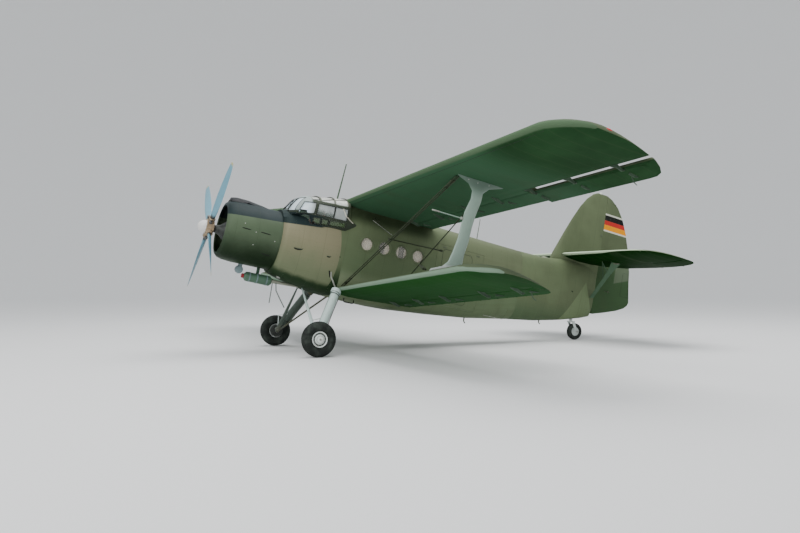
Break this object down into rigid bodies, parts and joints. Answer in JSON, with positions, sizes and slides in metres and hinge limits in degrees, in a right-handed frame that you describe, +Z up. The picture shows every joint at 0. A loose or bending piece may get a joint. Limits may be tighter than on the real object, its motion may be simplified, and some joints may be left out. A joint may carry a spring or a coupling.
{
  "type": "single-engine transport biplane",
  "caption": "Strutted transport biplane with a cowled radial engine, glazed cockpit, cabin with round windows, a cargo door, slotted flaps, hinged tail surfaces and a fixed tailwheel gear.",
  "frame": {"origin": "on the ground under the middle of the aircraft's overall length and span", "axes": "+X to port (the aircraft's left), -Y towards the nose, +Z up; the aircraft is parked nose-up on its three wheels"},
  "size_m": [18.1812, 12.747, 4.6214],
  "materials": {
    "olive_paint": "matt",
    "dark_green_paint": "matt",
    "tan_paint": "matt",
    "slate_paint": "matt",
    "teal_paint": "satin",
    "pale_blue_paint": "satin",
    "white_paint": "satin",
    "interior_paint": "matt",
    "steel": "satin",
    "rubber": "matt",
    "glass": "gloss"
  },
  "bodies": {
    "airframe": {"wing_upper_port": "olive_paint", "wing_upper_stbd": "olive_paint", "wing_lower_port": "olive_paint", "wing_lower_stbd": "olive_paint", "interplane_strut_port": "pale_blue_paint", "interplane_strut_stbd": "pale_blue_paint", "bracing_wires_port": "steel", "bracing_wires_stbd": "steel", "mast_front": "dark_green_paint", "mast_rear": "dark_green_paint", "nose_section": "tan_paint", "cabin_shell": "olive_paint", "canopy_frame": "olive_paint", "canopy_glass": "glass", "window_panes_port": "glass", "window_panes_stbd": "glass", "tail_cone": "olive_paint", "fin": "olive_paint", "tailplane_port": "olive_paint", "tailplane_stbd": "olive_paint", "cowl": "olive_paint", "air_scoop": "slate_paint", "engine": "steel", "heater_muff": "teal_paint", "exhaust_pipe": "steel", "main_leg_port": "pale_blue_paint", "main_leg_stbd": "pale_blue_paint", "tail_leg": "pale_blue_paint", "cabin_floor": "interior_paint", "bench_port": "interior_paint", "bench_stbd": "interior_paint", "bulkhead": "interior_paint", "cockpit_seats": "interior_paint", "instrument_panel": "slate_paint"},
    "propeller": {"propeller": "teal_paint"},
    "main_wheel_port": {"main_tyre_port": "rubber", "main_rim_port": "white_paint"},
    "main_wheel_stbd": {"main_tyre_stbd": "rubber", "main_rim_stbd": "white_paint"},
    "tail_fork": {"tail_fork": "pale_blue_paint"},
    "tail_wheel": {"tail_tyre": "rubber", "tail_rim": "white_paint"},
    "aileron_port": {"aileron_port": "olive_paint"},
    "aileron_stbd": {"aileron_stbd": "olive_paint"},
    "flap_upper_port": {"flap_upper_port": "olive_paint"},
    "flap_upper_stbd": {"flap_upper_stbd": "olive_paint"},
    "flap_lower_port": {"flap_lower_port": "olive_paint"},
    "flap_lower_stbd": {"flap_lower_stbd": "olive_paint"},
    "elevator_port": {"elevator_port": "olive_paint"},
    "elevator_stbd": {"elevator_stbd": "olive_paint"},
    "rudder": {"rudder": "olive_paint"},
    "cargo_door": {"cargo_door": "olive_paint"}
  },
  "joints": [
    {"name": "propeller_spin", "type": "hinge", "parent": "airframe", "child": "propeller", "pos_m": [0, -6.0706, 2.93793], "axis": [0, 0.9789, -0.2045], "continuous": true},
    {"name": "main_wheel_port_spin", "type": "hinge", "parent": "airframe", "child": "main_wheel_port", "pos_m": [1.727, -3.99575, 0.4], "axis": [1, 0, 0], "continuous": true},
    {"name": "main_wheel_stbd_spin", "type": "hinge", "parent": "airframe", "child": "main_wheel_stbd", "pos_m": [-1.727, -3.99575, 0.4], "axis": [1, 0, 0], "continuous": true},
    {"name": "tail_wheel_swivel", "type": "hinge", "parent": "airframe", "child": "tail_fork", "pos_m": [0, 4.21659, 0.535], "axis": [0, 0, 1], "continuous": true},
    {"name": "tail_wheel_spin", "type": "hinge", "parent": "tail_fork", "child": "tail_wheel", "pos_m": [0, 4.33659, 0.235], "axis": [1, 0, 0], "continuous": true},
    {"name": "aileron_port_hinge", "type": "hinge", "parent": "airframe", "child": "aileron_port", "pos_m": [5.71292, -0.98347, 3.41853], "axis": [0.9982, 0.0121, 0.0581], "range_deg": [-6, 38]},
    {"name": "aileron_stbd_hinge", "type": "hinge", "parent": "airframe", "child": "aileron_stbd", "pos_m": [-5.71292, -0.98347, 3.41853], "axis": [0.9982, -0.0121, -0.0581], "range_deg": [-6, 38]},
    {"name": "flap_upper_port_hinge", "type": "hinge", "parent": "airframe", "child": "flap_upper_port", "pos_m": [0.98834, -1.11636, 3.18689], "axis": [-0.9982, -0.0121, -0.0581], "range_deg": [0, 40]},
    {"name": "flap_upper_stbd_hinge", "type": "hinge", "parent": "airframe", "child": "flap_upper_stbd", "pos_m": [-0.98834, -1.11636, 3.18689], "axis": [-0.9982, 0.0121, 0.0581], "range_deg": [0, 40]},
    {"name": "flap_lower_port_hinge", "type": "hinge", "parent": "airframe", "child": "flap_lower_port", "pos_m": [0.98398, -1.76322, 1.20634], "axis": [-0.9971, -0.0155, -0.0744], "range_deg": [0, 40]},
    {"name": "flap_lower_stbd_hinge", "type": "hinge", "parent": "airframe", "child": "flap_lower_stbd", "pos_m": [-0.98398, -1.76322, 1.20634], "axis": [-0.9971, 0.0155, 0.0744], "range_deg": [0, 40]},
    {"name": "elevator_port_hinge", "type": "hinge", "parent": "airframe", "child": "elevator_port", "pos_m": [0.3, 5.04736, 2.21916], "axis": [1, 0, 0], "range_deg": [-22.5, 42]},
    {"name": "elevator_stbd_hinge", "type": "hinge", "parent": "airframe", "child": "elevator_stbd", "pos_m": [-0.3, 5.04736, 2.21916], "axis": [1, 0, 0], "range_deg": [-22.5, 42]},
    {"name": "rudder_hinge", "type": "hinge", "parent": "airframe", "child": "rudder", "pos_m": [0, 5.26322, 2.34774], "axis": [0, 0.2045, 0.9789], "range_deg": [-28, 28]},
    {"name": "cargo_door_hinge", "type": "hinge", "parent": "airframe", "child": "cargo_door", "pos_m": [0.905, 0.19973, 2.51166], "axis": [0, -0.9789, 0.2045], "range_deg": [0, 85]}
  ],
  "couplings": [
    {"joint": "flap_upper_stbd_hinge", "follows": "flap_upper_port_hinge", "ratio": 1},
    {"joint": "flap_lower_port_hinge", "follows": "flap_upper_port_hinge", "ratio": 1},
    {"joint": "flap_lower_stbd_hinge", "follows": "flap_upper_port_hinge", "ratio": 1},
    {"joint": "elevator_stbd_hinge", "follows": "elevator_port_hinge", "ratio": 1}
  ]
}
